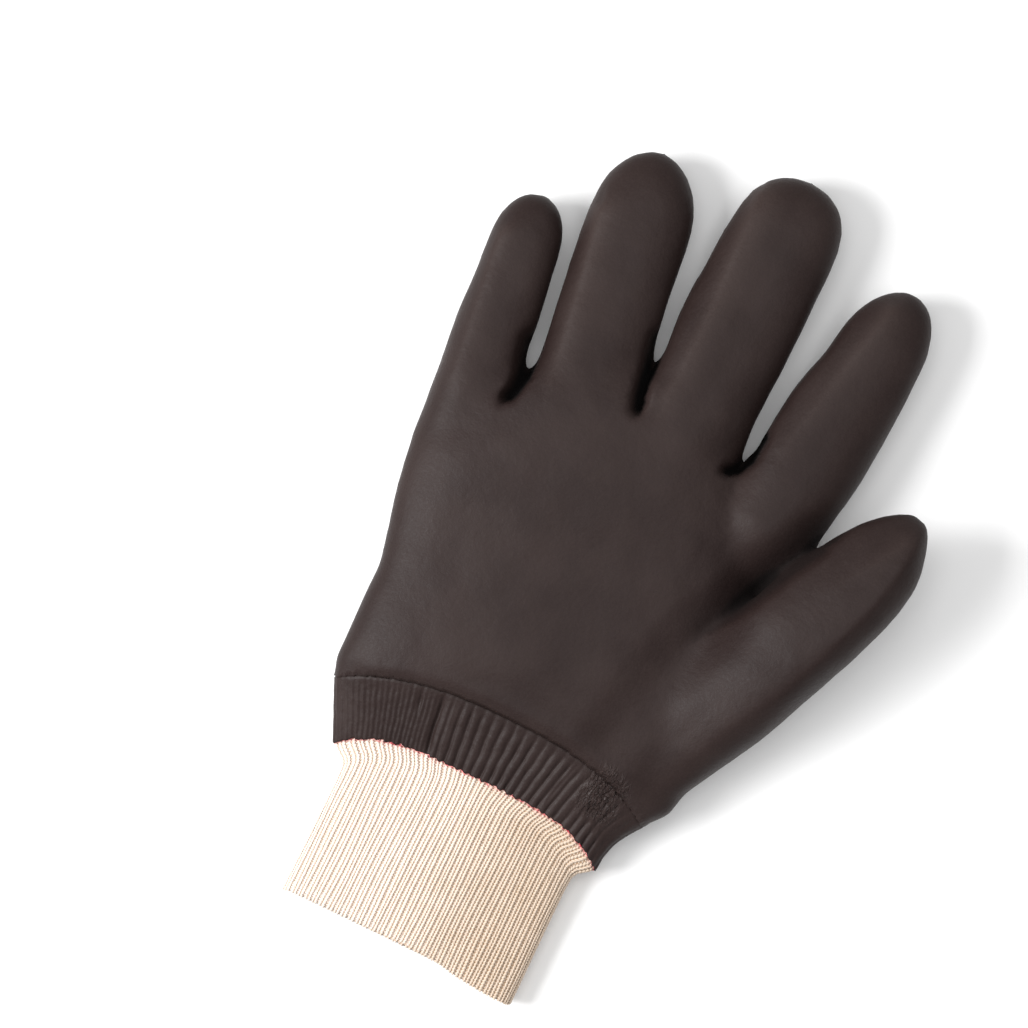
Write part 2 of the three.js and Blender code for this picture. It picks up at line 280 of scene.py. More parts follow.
class Signal:
    """A number that changes over a surface, held as a node's output socket."""

    def __init__(self, pad: "NodePad", socket: bpy.types.NodeSocket) -> None:
        """Keeps the socket and the pad that it is on."""
        self.pad = pad
        self.socket = socket

    def _math(self, operation: str, *values: Number) -> "Signal":
        """Adds a Math node on these values and returns its result."""
        return self.pad.node("ShaderNodeMath", {"operation": operation}, dict(enumerate(values)))

    def __add__(self, other: Number) -> "Signal":
        """The sum."""
        return self._math("ADD", self, other)

    __radd__ = __add__

    def __sub__(self, other: Number) -> "Signal":
        """The difference."""
        return self._math("SUBTRACT", self, other)

    def __rsub__(self, other: float) -> "Signal":
        """The difference from a number."""
        return self._math("SUBTRACT", other, self)

    def __mul__(self, other: Number) -> "Signal":
        """The product."""
        return self._math("MULTIPLY", self, other)

    __rmul__ = __mul__

    def ramp(self, start: float, end: float) -> "Signal":
        """Eases from 0 where the value is start to 1 where it is end."""
        settings = {"interpolation_type": "SMOOTHSTEP"}
        return self.pad.node("ShaderNodeMapRange", settings, {"Value": self, 1: start, 2: end})


class NodePad:
    """A new material and the one way that nodes are added to it."""

    def __init__(self, name: str) -> None:
        """Makes the material with its shader.

        Args:
            name: The material's name.
        """
        self.material = bpy.data.materials.new(name)
        self.material.use_nodes = True
        self.tree = self.material.node_tree
        self.shader = self.tree.nodes["Principled BSDF"]

    def node(
        self,
        kind: str,
        settings: Optional[dict[str, Any]] = None,
        sockets: Optional[dict[Union[str, int], Any]] = None,
        output: Union[str, int] = 0,
    ) -> Signal:
        """Adds a node.

        Args:
            kind: The node's type.
            settings: Its properties, set before its sockets.
            sockets: Values or signals for its inputs, by name or number.
            output: The output to return.

        Returns:
            The node's output.
        """
        node = self.tree.nodes.new(kind)
        for key, value in (settings or {}).items():
            setattr(node, key, value)
        for key, value in (sockets or {}).items():
            self.feed(node.inputs[key], value)
        return Signal(self, node.outputs[output])

    def feed(self, socket: bpy.types.NodeSocket, value: Any) -> None:
        """Links a signal to a socket, or sets its value.

        Args:
            socket: An input socket.
            value: A signal, a number or a colour.
        """
        if isinstance(value, Signal):
            self.tree.links.new(value.socket, socket)
        else:
            socket.default_value = value

    def dress(self, **sockets: Any) -> Material:
        """Sets the shader's own sockets.

        Args:
            **sockets: Values or signals, by the socket's name with underscores for spaces.

        Returns:
            The finished material.
        """
        for key, value in sockets.items():
            self.feed(self.shader.inputs[key.replace("_", " ")], value)
        return self.material

    def place(self, stretch: tuple[float, float, float] = (1, 1, 1)) -> Signal:
        """The piece's own coordinates in millimetres, with each axis multiplied by its stretch."""
        spot = self.node("ShaderNodeTexCoord", output="Object")
        return self.node("ShaderNodeMapping", None, {"Vector": spot, "Scale": tuple(s / MM for s in stretch)})

    def cloud(self, place: Signal, size: float, detail: float = 2, rough: float = 0.5) -> Signal:
        """Soft noise from 0 to 1, whose bumps lie a size apart, with finer layers of this strength."""
        sockets = {"Vector": place, "Scale": 1 / size, "Detail": detail, "Roughness": rough}
        return self.node("ShaderNodeTexNoise", None, sockets)

    def attribute(self, name: str) -> Signal:
        """A number stored on the piece's vertices."""
        return self.node("ShaderNodeAttribute", {"attribute_name": name}, output="Fac")

    def blend(self, factor: Number, first: Any, second: Any) -> Signal:
        """Mixes two colours: a factor of 0 gives the first, and 1 the second."""
        settings = {"data_type": "RGBA", "clamp_factor": True}
        return self.node("ShaderNodeMix", settings, {0: factor, 6: first, 7: second}, output=2)

    def relief(self, height: Signal, depth: float) -> Signal:
        """The normal bumped by a height, of which 1 stands for this depth in millimetres."""
        return self.node("ShaderNodeBump", None, {"Height": height, "Distance": depth * MM, "Strength": 1.0})


@dataclass(frozen=True)
class CoatFinish:
    """Matt brown plastic with a fine grain and shallow swells, painted sheen on the finger ridges and painted
    shade in the creases.

    Attributes:
        painted_sheen: The colour of the painted sheen along the ridges of the fingers, lighter than the rest of
            the coat.
        hollow: The painted shade deep between the fingers, where no light comes.
    """

    name: str = "brown_dipped_plastic"
    dark: Colour = (0.0170, 0.0100, 0.0092, 1)
    light: Colour = (0.0280, 0.0182, 0.0166, 1)
    painted_sheen: Colour = (0.0385, 0.0262, 0.0236, 1)
    hollow: Colour = (0.0015, 0.001, 0.001, 1)
    roughness: float = 0.5
    grain_depth: float = 0.06
    swell_depth: float = 0.25
    shine: float = 0.13

    def material(self) -> Material:
        """Makes the material.

        Returns:
            The material, which reads the attributes crease for the painted shade, crinkled, and painted_sheen
            for the painted sheen.
        """
        pad = NodePad(self.name)
        spot = pad.place()
        patches = pad.cloud(spot, 26, 3, 0.55)
        grain = pad.cloud(spot, 0.6, 3, 0.65)
        pores = pad.cloud(spot, 1.5, 2, 0.5)
        swells = pad.cloud(spot, 7, 2, 0.5)
        worms = pad.cloud(pad.place((1, 0.35, 1)), 0.9, 2, 0.6)
        # crease: painted shade in the slots between the fingers and along the thumb crease
        crease = pad.attribute("crease")
        tone = patches.ramp(0.3, 0.72) * 0.6 + grain.ramp(0.35, 0.75) * 0.4
        skin = grain * self.grain_depth + pores * (self.grain_depth * 1.4) + swells * self.swell_depth
        # the crinkled patch's worm streaks are bumped and glossier, and also painted lighter as a painted
        # highlight
        film = pad.attribute("crinkled") * worms.ramp(0.42, 0.62)
        plain = pad.blend(tone + film * 0.9, self.dark, self.light)
        # painted sheen: the coat is painted lighter along the finger ridges
        sheen_mask = pad.attribute("painted_sheen") * (grain.ramp(0.3, 0.75) * 0.4 + 0.7)
        rough = grain.ramp(0.2, 0.8) * 0.16 + patches * 0.1 + (self.roughness - 0.13)
        # the base colour takes the painted sheen and then the painted shade
        return pad.dress(
            Base_Color=pad.blend(crease, pad.blend(sheen_mask, plain, self.painted_sheen), self.hollow),
            Roughness=rough - film * 0.22 + crease * 0.5,
            Normal=pad.relief(skin + film * 0.5, 1.0),
            Specular_IOR_Level=self.shine,
        )


@dataclass(frozen=True)
class LiningFinish:
    """The fine cream jersey that lines the coat."""

    name: str = "cream_jersey_lining"
    colour: Colour = (0.72, 0.62, 0.50, 1)
    shade: Colour = (0.42, 0.33, 0.24, 1)
    pitch: float = 1.1

    def material(self) -> Material:
        """Makes the material.

        Returns:
            The material.
        """
        pad = NodePad(self.name)
        wales = pad.node(
            "ShaderNodeTexWave",
            {"wave_type": "BANDS", "bands_direction": "X"},
            {"Vector": pad.place(), "Scale": 0.31 / self.pitch, "Distortion": 0.6, "Detail": 1.0},
        )
        weave = wales * 0.7 + pad.cloud(pad.place(), 0.4, 3, 0.6) * 0.3
        return pad.dress(
            Base_Color=pad.blend(weave.ramp(0.2, 0.7), self.shade, self.colour),
            Roughness=0.95,
            Normal=pad.relief(weave, 0.25),
            Sheen_Weight=0.2,
        )


@dataclass(frozen=True)
class KnitFinish:
    """Cream cotton thread, painted darker towards the thumb side and in the holes as painted shade, and stained
    by the coat where it ends.

    Attributes:
        hollow: The painted shade behind the stitches, in the holes between them.
        stain_reach: How far the soft stain reaches from the coat's edge.
        speck_reach: How far the strong stain in spots reaches.
    """

    name: str = "cream_cotton_thread"
    light: Colour = (0.81, 0.71, 0.645, 1)
    shade: Colour = (0.71, 0.59, 0.495, 1)
    shaded_side_light: Colour = (0.64, 0.525, 0.425, 1)
    shaded_side_dark: Colour = (0.50, 0.385, 0.28, 1)
    hollow: Colour = (0.66, 0.52, 0.39, 1)
    shaded_side_hollow: Colour = (0.42, 0.28, 0.17, 1)
    stain: Colour = (0.72, 0.36, 0.32, 1)
    speck: Colour = (0.55, 0.06, 0.09, 1)
    stain_reach: float = 2.2
    speck_reach: float = 0.8

    def material(self) -> Material:
        """Makes the material.

        Returns:
            The material, which reads the attributes shaded and behind, which place the painted shade, and
            below_coat, which places the stain.
        """
        pad = NodePad(self.name)
        spot = pad.place()
        fibre = pad.cloud(pad.place((1, 0.35, 1)), 0.22, 3, 0.7)
        flecks = pad.cloud(spot, 1.6, 3, 0.7)
        tone = fibre.ramp(0.2, 0.75) * 0.5 + flecks.ramp(0.25, 0.6) * 0.5
        # painted shade: the thread turns darker and tan towards the thumb side, in soft patches
        side_shade = pad.attribute("shaded") + (pad.cloud(spot, 9, 2, 0.5) - 0.5) * 0.5
        lit_side = pad.blend(tone, self.shade, self.light)
        cotton = pad.blend(side_shade, lit_side, pad.blend(tone, self.shaded_side_dark, self.shaded_side_light))
        # painted shade in the holes: the base behind the stitches takes the darker colours
        gaps = pad.blend(side_shade, self.hollow, self.shaded_side_hollow)
        thread = pad.blend(pad.attribute("behind"), cotton, gaps)
        below = pad.attribute("below_coat")
        soft = (1 - below.ramp(0.0, self.stain_reach)) * pad.cloud(spot, 5, 2, 0.6).ramp(0.4, 0.66)
        spots = (1 - below.ramp(0.1, self.speck_reach)) * pad.cloud(spot, 1.7, 2, 0.6).ramp(0.5, 0.62)
        return pad.dress(
            Base_Color=pad.blend(spots, pad.blend(soft * 0.6, thread, self.stain), self.speck),
            Roughness=0.92,
            Normal=pad.relief(fibre, 0.06),
            Sheen_Weight=0.25,
            Specular_IOR_Level=0.2,
        )


@dataclass(frozen=True)
class DyeFinish:
    """The bead of dye at the coat's edge, pink where it is thin and red where it is thick."""

    name: str = "red_dye_edge"
    pink: Colour = (0.78, 0.30, 0.28, 1)
    red: Colour = (0.50, 0.035, 0.06, 1)

    def material(self) -> Material:
        """Makes the material.

        Returns:
            The material.
        """
        pad = NodePad(self.name)
        patches = pad.cloud(pad.place(), 3.0, 3, 0.6)
        return pad.dress(
            Base_Color=pad.blend(patches.ramp(0.4, 0.62), self.pink, self.red),
            Roughness=patches * 0.2 + 0.5,
            Normal=pad.relief(pad.cloud(pad.place(), 0.5), 0.1),
        )


@dataclass(frozen=True)
class FloorFinish:
    """The plain pale floor."""

    name: str = "pale_floor"
    colour: Colour = (0.90, 0.90, 0.90, 1)

    def material(self) -> Material:
        """Makes the material."""
        return NodePad(self.name).dress(Base_Color=self.colour, Roughness=0.9, Specular_IOR_Level=0.1)


@dataclass(frozen=True)
class Station:
    """The outline of the wrist at one place along it, flat underneath where it rests.

    Attributes:
        along: How far along its piece it lies, from 0 to 1.
        y: Where its sides lie.
        half_width: Half its width.
        thickness: Its height above the surface.
        arch: How far its middle runs ahead of its sides.
        flatness: How flat that arch is across the middle.
    """

    along: float
    y: float
    half_width: float
    thickness: float
    arch: float
    flatness: float

    def line_at(self, points: Points) -> Values:
        """Where the line round the wrist at this station runs.

        Args:
            points: Points in the glove's frame.

        Returns:
            The line's Y beside each point.
        """
        across = np.clip(np.abs(points[:, 0]) / self.half_width, 0, 1)
        share = np.where(points[:, 2] >= self.thickness / 2, 1, BACK_ARCH)
        return self.y + self.arch * share * (1 - across**self.flatness)


@dataclass
class WristTube:
    """A tube of rounded outlines round the wrist, on which the band and the knit are laid out.

    Attributes:
        swell: How far the wall wavers in and out.
        squareness: How square each outline is: 2 is an ellipse.
        outline_steps: How many places round it are measured.
    """

    stations: tuple[Station, ...]
    swell: float = 0.0
    squareness: float = 2.7
    outline_steps: int = 2881
    _turns: Values = field(init=False, repr=False)
    _shares: Values = field(init=False, repr=False)

    def __post_init__(self) -> None:
        """Works out which turn lies at which share of the way round."""
        middle = self.stations[len(self.stations) // 2]
        self._turns = np.linspace(0, FULL_TURN, self.outline_steps)
        u, v = self._unit(self._turns)
        steps = np.hypot(np.diff(u) * middle.half_width, np.diff(v) * middle.thickness / 2)
        length = np.concatenate([[0], np.cumsum(steps)])
        self._shares = length / length[-1]

    def _unit(self, turn: Values) -> tuple[Values, Values]:
        """A point of the outline with half sizes of one.

        Args:
            turn: Turns in radians.

        Returns:
            How far across and how far up it lies.
        """
        c, s = np.cos(turn), np.sin(turn)
        power = 2 / self.squareness
        return np.sign(c) * np.abs(c) ** power, np.sign(s) * np.abs(s) ** power

    def size(self, name: str, along: Values) -> Values:
        """One of the outline's sizes, by its field's name, at places along the tube from 0 to 1."""
        known = [getattr(station, name) for station in self.stations]
        return np.interp(along, [station.along for station in self.stations], known)

    def place(self, share: Values, along: Values, lift: Values) -> Points:
        """Points on or near the tube's wall.

        Args:
            share: How far round, from 0 to 1, starting at the thumb side and going over the top.
            along: How far along, from 0 to 1.
            lift: How far out from the wall.

        Returns:
            The points in the glove's frame.
        """
        u, v = self._unit(np.interp(np.mod(share, 1), self._shares, self._turns))
        half_width = self.size("half_width", along)
        half_height = self.size("thickness", along) / 2
        nx = np.sign(u) * np.abs(u) ** (self.squareness - 1) / half_width
        nz = np.sign(v) * np.abs(v) ** (self.squareness - 1) / half_height
        norm = np.hypot(nx, nz)
        bow = 1 - np.abs(u) ** self.size("flatness", along)
        x = half_width * u
        y = self.size("y", along) + np.where(v >= 0, 1, BACK_ARCH) * self.size("arch", along) * bow
        z = half_height * (1 + v)
        wave = np.sin(x / 9 + y / 13) * np.sin(y / 11 - x / 23) * self.swell * np.clip(v, 0, 1)
        out = lift + wave
        return np.stack([x + out * nx / norm, y, z + out * nz / norm], axis=1)


def rolled_grid(
    name: str, columns: int, rows: int, place: GloveFrame, shape: Callable[[Values, Values], Points]
) -> Piece:
    """A grid whose sides are brought together into a tube.

    Args:
        name: The new object's name.
        columns: How many faces it has round it.
        rows: How many faces it has along it.
        place: The glove's frame.
        shape: Gives glove points for shares round and along, both from 0 to 1.

    Returns:
        The tube, with its faces pointing out and the grid's own UV map.
    """
    add_grid = bpy.ops.mesh.primitive_grid_add
    tube = add_piece(name, add_grid, x_subdivisions=columns, y_subdivisions=rows, size=1, calc_uvs=True)
    flat = read_vertices(tube)
    place.write(tube, shape(flat[:, 0] + 0.5, flat[:, 1] + 0.5))
    with editing(tube):
        bpy.ops.mesh.remove_doubles(threshold=0.01 * MM)
        bpy.ops.mesh.normals_make_consistent(inside=False)
    face_out(tube)
    shade_smooth(tube)
    return tube


def face_out(tube: Piece) -> None:
    """Turns the faces of a tube round if most of them point in.

    Args:
        tube: The tube, which runs along Y.
    """
    points = read_vertices(tube)
    outwards = points - points.mean(axis=0)
    outwards[:, 1] = 0
    if float((outwards * read_vertices(tube, "normal")).sum()) < 0:
        with editing(tube):
            bpy.ops.mesh.flip_normals()


@dataclass(frozen=True)
class Fold:
    """A crease pressed into the palm side, or a crest raised on it.

    Attributes:
        name: What it is.
        path: Where it runs on plan, from the fingers towards the wrist.
        depths: Its depth where the path starts and where it ends.
        widths: How far it reaches on the thumb side and on the little finger's side.
        shape: How it is formed across its width.
        taper: Its width at the path's end, as a share of its width at the start.
    """

    name: str
    path: Path
    depths: tuple[float, float]
    widths: tuple[float, float]
    shape: FoldShape = FoldShape.SOFT
    taper: float = 1.0

    def depth_at(self, points: Points) -> Values:
        """How deep the fold is.

        Args:
            points: Points in the glove's frame.

        Returns:
            The depth at each point.
        """
        distance, share, thumb_side = distance_to_path(points, self.path)
        width = np.where(thumb_side, *self.widths) * (1 + (self.taper - 1) * share)
        near = np.clip(1 - distance / width, 0, 1)
        start, end = self.depths
        depth = start + (end - start) * share
        if self.shape is FoldShape.SLOT:
            return depth * np.where(thumb_side, smoothstep(near * 1.8), smoothstep(near) ** 1.4)
        if self.shape is FoldShape.CREST:
            return depth * near**1.7
        return depth * smoothstep(near)


@dataclass
class DippedHand:
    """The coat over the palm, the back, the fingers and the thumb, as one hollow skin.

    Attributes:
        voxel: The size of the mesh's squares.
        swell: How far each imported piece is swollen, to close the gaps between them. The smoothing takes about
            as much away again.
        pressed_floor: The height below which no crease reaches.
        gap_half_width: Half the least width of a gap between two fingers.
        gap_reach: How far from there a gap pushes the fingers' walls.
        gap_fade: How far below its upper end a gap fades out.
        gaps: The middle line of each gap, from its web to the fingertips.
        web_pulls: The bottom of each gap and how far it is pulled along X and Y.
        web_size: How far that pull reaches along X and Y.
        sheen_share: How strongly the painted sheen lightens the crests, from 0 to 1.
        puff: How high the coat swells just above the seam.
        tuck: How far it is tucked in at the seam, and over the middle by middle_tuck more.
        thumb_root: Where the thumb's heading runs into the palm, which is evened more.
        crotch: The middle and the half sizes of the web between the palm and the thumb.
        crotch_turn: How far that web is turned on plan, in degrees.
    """

    place: GloveFrame
    voxel: float = 1.28
    swell: float = 0.5
    wall: float = 2.0
    seam: Station = Station(0.0, 67.0, 54.0, 24.0, 11.5, 2.6)
    smoothing: int = 26
    pressed_floor: float = 5.0
    gap_half_width: float = 2.1
    gap_reach: float = 7.0
    gap_fade: float = 8.0
    gaps: tuple[Path, ...] = (
        ((-41.7, 181), (-41.9, 184), (-42.7, 191), (-44.7, 204), (-46.5, 215)),
        ((-7.4, 199.6), (-7.7, 201), (-8.5, 207.6), (-9.7, 216), (-11.5, 230)),
        (
            (31.2, 183), (31, 190), (31.6, 199), (32.3, 206), (33.2, 212), (35.1, 218.5), (37.4, 226),
            (39, 231),
        ),
    )
    web_pulls: tuple[tuple[float, float, float, float], ...] = (
        (-41.3, 181.7, 0.1, -3.9), (-7.6, 200.8, 0.6, -4.3), (28.4, 183.6, 1.8, -1.2),
    )
    web_size: tuple[float, float] = (2.6, 7.0)
    thumb_root: Path = ((54, 133), (51, 128.5), (47.5, 123), (43.5, 116), (40, 106))
    root_reach: float = 8.0
    root_height: float = 16.0
    root_smoothing: int = 40
    wide_waver: float = 0.5
    fine_waver: float = 0.22
    sheen_share: float = 0.82
    puff: float = 0.65
    tuck: float = 1.7
    middle_tuck: float = 0.7
    crinkle: float = 0.35
    crotch: tuple[tuple[float, ...], tuple[float, ...]] = ((56.5, 154.5, 9.5), (5.5, 15.0, 6.5))
    crotch_turn: float = -23.0
    skin: Piece = field(init=False)
    creases: tuple[Fold, ...] = (
        Fold(
            "little and ring web", ((-42, 186), (-41, 176), (-41.6, 170.5), (-42.6, 167.8)),
            (11.0, 7.0), (2.6, 8.0), FoldShape.SLOT, 0.6,
        ),
        Fold(
            "ring and middle web", ((-8.3, 204), (-7.3, 196), (-7.1, 191), (-6.4, 185.5), (-5.4, 182.2)),
            (11.5, 8.0), (2.2, 6.0), FoldShape.SLOT, 0.7,
        ),
        Fold(
            "middle and index web", ((32.6, 191), (32.2, 183), (30, 178.6), (27.6, 176.6)),
            (11.0, 7.0), (2.4, 6.0), FoldShape.SLOT, 0.7,
        ),
        Fold(
            "thumb crease", ((64, 168), (57, 155), (52.5, 146), (48, 136.5), (44, 130)),
            (5.0, 3.0), (2.5, 15.0),
        ),
        Fold(
            "heel crease", ((45, 132), (40, 121), (36.5, 111), (34, 100), (31, 90), (29, 80)),
            (2.6, 1.2), (15.0, 15.0), FoldShape.SOFT, 0.8,
        ),
    )
    crests: tuple[Fold, ...] = (
        Fold(
            "thumb ridge", (
                (88.5, 189), (88, 178), (86, 165), (82, 152), (78, 140), (73, 127), (68, 117), (62, 107),
                (57, 95),
            ),
            (1.5, 0.5), (5.0, 9.0), FoldShape.CREST,
        ),
        Fold("thumb face", ((85, 180), (76.5, 166), (68, 155)), (0.9, 0.2), (9.0, 8.0), FoldShape.CREST),
        Fold(
            "little finger ridge", ((-66.2, 213), (-66.1, 204), (-64.6, 194), (-60.5, 166)),
            (1.1, 0.4), (9.0, 5.0), FoldShape.CREST,
        ),
        Fold(
            "ring finger ridge", ((-42.3, 231), (-38.4, 211.5), (-36, 196), (-33.4, 177)),
            (1.5, 0.6), (12.0, 6.0), FoldShape.CREST,
        ),
        Fold(
            "middle finger ridge", ((-0.3, 257), (0.8, 236), (1.8, 217), (1.5, 198), (0.7, 188)),
            (1.5, 0.8), (12.0, 6.5), FoldShape.CREST,
        ),
        Fold(
            "index finger ridge", ((51, 243), (46.2, 220), (42.3, 202), (40, 190)),
            (1.4, 0.5), (10.0, 6.0), FoldShape.CREST,
        ),
    )

    def build(self) -> Piece:
        """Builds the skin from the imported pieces.

        Returns:
            The finished piece.
        """
        self.skin = self._joined_copy()
        apply_modifier(self.skin, "REMESH", mode="VOXEL", voxel_size=self.voxel * MM, use_smooth_shade=True)
        self._keep_outer_skin()
        self._trim_to_seam()
        self._even()
        self._press_folds()
        self._puff_edge()
        apply_modifier(
            self.skin, "SOLIDIFY", thickness=self.wall * MM, offset=-1, use_rim=True, material_offset=1,
            use_quality_normals=True,
        )
        shade_smooth(self.skin)
        self.skin.name = "coated_hand"
        self.skin.data.name = "coated_hand"
        return self.skin

    def dress(self, coat: Material, lining: Material) -> None:
        """Gives the skin its finishes, hangs it under the root body and hides the imported pieces that it
        replaces.

        Args:
            coat: The outer material.
            lining: The inner material.
        """
        skin = self.skin
        wear(skin, coat, lining)
        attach(skin, "root")
        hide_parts("coated_palm", *FINGER_NODES, "thumb")

    def _joined_copy(self) -> Piece:
        """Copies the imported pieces, merges and swells each, closes the wrist and joins them all.

        Returns:
            The joined copies, still one shell inside another.
        """
        copies = []
        for name in ("coated_palm", *FINGER_NODES, "thumb"):
            copy = bpy.data.objects.new(f"{name}_copy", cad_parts[name].data.copy())
            bpy.context.collection.objects.link(copy)
            with editing(copy):
                bpy.ops.mesh.remove_doubles(threshold=0.001 * MM)
            apply_modifier(copy, "DISPLACE", strength=self.swell * MM, mid_level=0.0)
            if name in FINGER_NODES:
                self._open_gaps(copy, FINGER_NODES.index(name))
            copies.append(copy)
        self._close_wrist(copies[0])
        copies.append(self._crotch_web())
        select_only(copies[0])
        for copy in copies:
            copy.select_set(True)
        bpy.ops.object.join()
        return copies[0]

    def _open_gaps(self, copy: Piece, finger: int) -> None:
        """Moves a finger's walls away from the gaps beside it, so that the remesh doesn't bridge them.

        Args:
            copy: The finger.
            finger: Its number, counted from the little finger.
        """
        points = self.place.read(copy)
        x, y, _ = points.T
        for index, side in ((finger - 1, 1), (finger, -1)):
            if 0 <= index < len(self.gaps):
                line_x, line_y = np.array(self.gaps[index]).T
                short = self.gap_half_width - side * (x - np.interp(y, line_y, line_x))
                near = (short > 0) & (short < self.gap_reach) & (y > line_y[0])
                x += np.where(near, side * short * smoothstep((line_y[-1] - y) / self.gap_fade), 0)
        self.place.write(copy, points)

    def _crotch_web(self) -> Piece:
        """Makes the web that joins the thumb's side to the palm behind the crease.

        Returns:
            The web.
        """
        middle, sizes = self.crotch
        at = self.place.to_scene(np.array([middle]))[0]
        add_sphere = bpy.ops.mesh.primitive_uv_sphere_add
        web = add_piece("crotch_web", add_sphere, segments=24, ring_count=14, radius=MM, location=at)
        web.scale = sizes
        web.rotation_euler = (0, 0, math.radians(self.crotch_turn))
        bpy.ops.object.transform_apply(location=True, rotation=True, scale=True)
        return web

    def _close_wrist(self, palm: Piece) -> None:
        """Puts a lid over the wrist's opening, so that the remesh fills the hollow.

        Args:
            palm: The palm's copy.
        """
        points = self.place.read(palm)
        with editing(palm, points[:, 1] < self.seam.line_at(points) + 1.0):
            bpy.ops.mesh.duplicate()
            bpy.ops.mesh.convex_hull()

    def _keep_outer_skin(self) -> None:
        """Cuts the rim away at the wrist and keeps the outer of the two surfaces."""
        points = self.place.read(self.skin)
        with editing(self.skin, points[:, 1] < self.seam.line_at(points) + 1.3 * self.voxel):
            bpy.ops.mesh.delete(type="VERT")
            bpy.ops.mesh.separate(type="LOOSE")
        parts = list(bpy.context.selected_objects)
        parts.sort(key=lambda part: float(np.ptp(read_vertices(part), axis=0).sum()))
        self.skin = parts.pop()
        for part in parts:
            bpy.data.objects.remove(part)

    def _trim_to_seam(self) -> None:
        """Brings the open edge exactly to the seam's line."""
        edge = self._edge_vertices()
        points = self.place.read(self.skin)
        points[edge, 1] = self.seam.line_at(points[edge])
        self.place.write(self.skin, points)
        mesh = self.skin.data
        euler = len(mesh.vertices) - len(mesh.edges) + len(mesh.polygons)
        LOG.info("skin: one open edge gives 1, here %d", euler)

    def _edge_vertices(self) -> Values:
        """Finds the open edge.

        Returns:
            True for each vertex on the edge.
        """
        edge = np.zeros(len(self.skin.data.vertices), bool)
        with editing(self.skin, edge):
            bpy.ops.mesh.select_non_manifold(
                extend=False, use_wire=False, use_boundary=True, use_multi_face=False,
                use_non_contiguous=False, use_verts=False,
            )
        self.skin.data.vertices.foreach_get("select", edge)
        return edge

    def _even(self) -> None:
        """Smooths facets and steps away with the open edge held, and sets the gaps' bottoms."""
        skin = self.skin
        inside = np.flatnonzero(~self._edge_vertices())
        skin.vertex_groups.new(name="free").add(inside.tolist(), 1.0, "REPLACE")
        apply_modifier(skin, "SMOOTH", factor=0.5, iterations=self.smoothing, vertex_group="free")
        skin.vertex_groups.clear()
        points = self.place.read(skin)
        wide, tall = self.web_size
        for x, y, pull_x, pull_y in self.web_pulls:
            share = np.exp(-(((points[:, 0] - x) / wide) ** 2) - ((points[:, 1] - y) / tall) ** 2)
            points[:, 0] += pull_x * share
            points[:, 1] += pull_y * share
        self.place.write(skin, points)
        away, _, _ = distance_to_path(points, self.thumb_root)
        with editing(skin, (away < self.root_reach) & (points[:, 2] > self.root_height)):
            bpy.ops.mesh.vertices_smooth(factor=0.5, repeat=self.root_smoothing)

    def _press_folds(self) -> None:
        """Presses the creases in, raises the crests, lets the surface waver, and stores where the painted sheen
        and the painted shade go.
        """
        skin = self.skin
        slots = [fold for fold in self.creases if fold.shape is FoldShape.SLOT]
        points = self.place.read(skin)
        deep = np.max([fold.depth_at(points) for fold in slots], axis=0) > 0.1
        with editing(skin, deep & (points[:, 2] > self.pressed_floor)):
            bpy.ops.mesh.subdivide(number_cuts=1, smoothness=0)
        points = self.place.read(skin)
        normals = read_vertices(skin, "normal")
        fade = smoothstep((points[:, 1] - self.seam.line_at(points)) / 8)
        slotted = np.max([fold.depth_at(points) for fold in slots], axis=0)
        press = np.max([fold.depth_at(points) for fold in self.creases], axis=0)
        thumb_fold = next(fold for fold in self.creases if fold.name == "thumb crease")
        away, _, on_thumb = distance_to_path(points, thumb_fold.path)
        beside_thumb = thumb_fold.depth_at(points) * np.where(on_thumb, smoothstep(1 - away / 2.6), 1)
        share = np.clip((points[:, 2] - self.pressed_floor) / 15, 0, 1)
        points[:, 2] -= press * share * fade
        heights = {fold.name: fold.depth_at(points) for fold in self.crests}
        raised = sum(heights.values())
        del heights["thumb ridge"]
        # painted sheen: the upward faces of the finger crests are marked to be painted lighter
        painted_sheen = smoothstep(np.max(list(heights.values()), axis=0) / 1.4)
        store_values(skin, "painted_sheen", self.sheen_share * painted_sheen * smoothstep(normals[:, 2] / 0.5 + 0.3))
        waver = noise_at(*points.T, size=24.0) * self.wide_waver
        waver += noise_at(*(points + 40).T, size=11.0) * self.fine_waver
        lift = waver * fade * smoothstep(points[:, 2] / 6) + raised * smoothstep(normals[:, 2] / 0.5 + 0.5)
        points += normals * lift[:, None]
        self.place.write(skin, points)
        apply_modifier(skin, "SMOOTH", factor=0.5, iterations=3)
        # painted shade: the coat is painted darker in the slots between the fingers, beside the thumb crease
        # and deep in the pit below it
        darkness = np.maximum(smoothstep((slotted - 1.5) / 6), 0.5 * smoothstep(beside_thumb / 5)) * share
        pit = 0.9 * smoothstep((24 - points[:, 2]) / 6) * smoothstep((7 - away) / 4)
        store_values(skin, "crease", np.maximum(darkness, pit * smoothstep(normals[:, 2] + 0.6)))

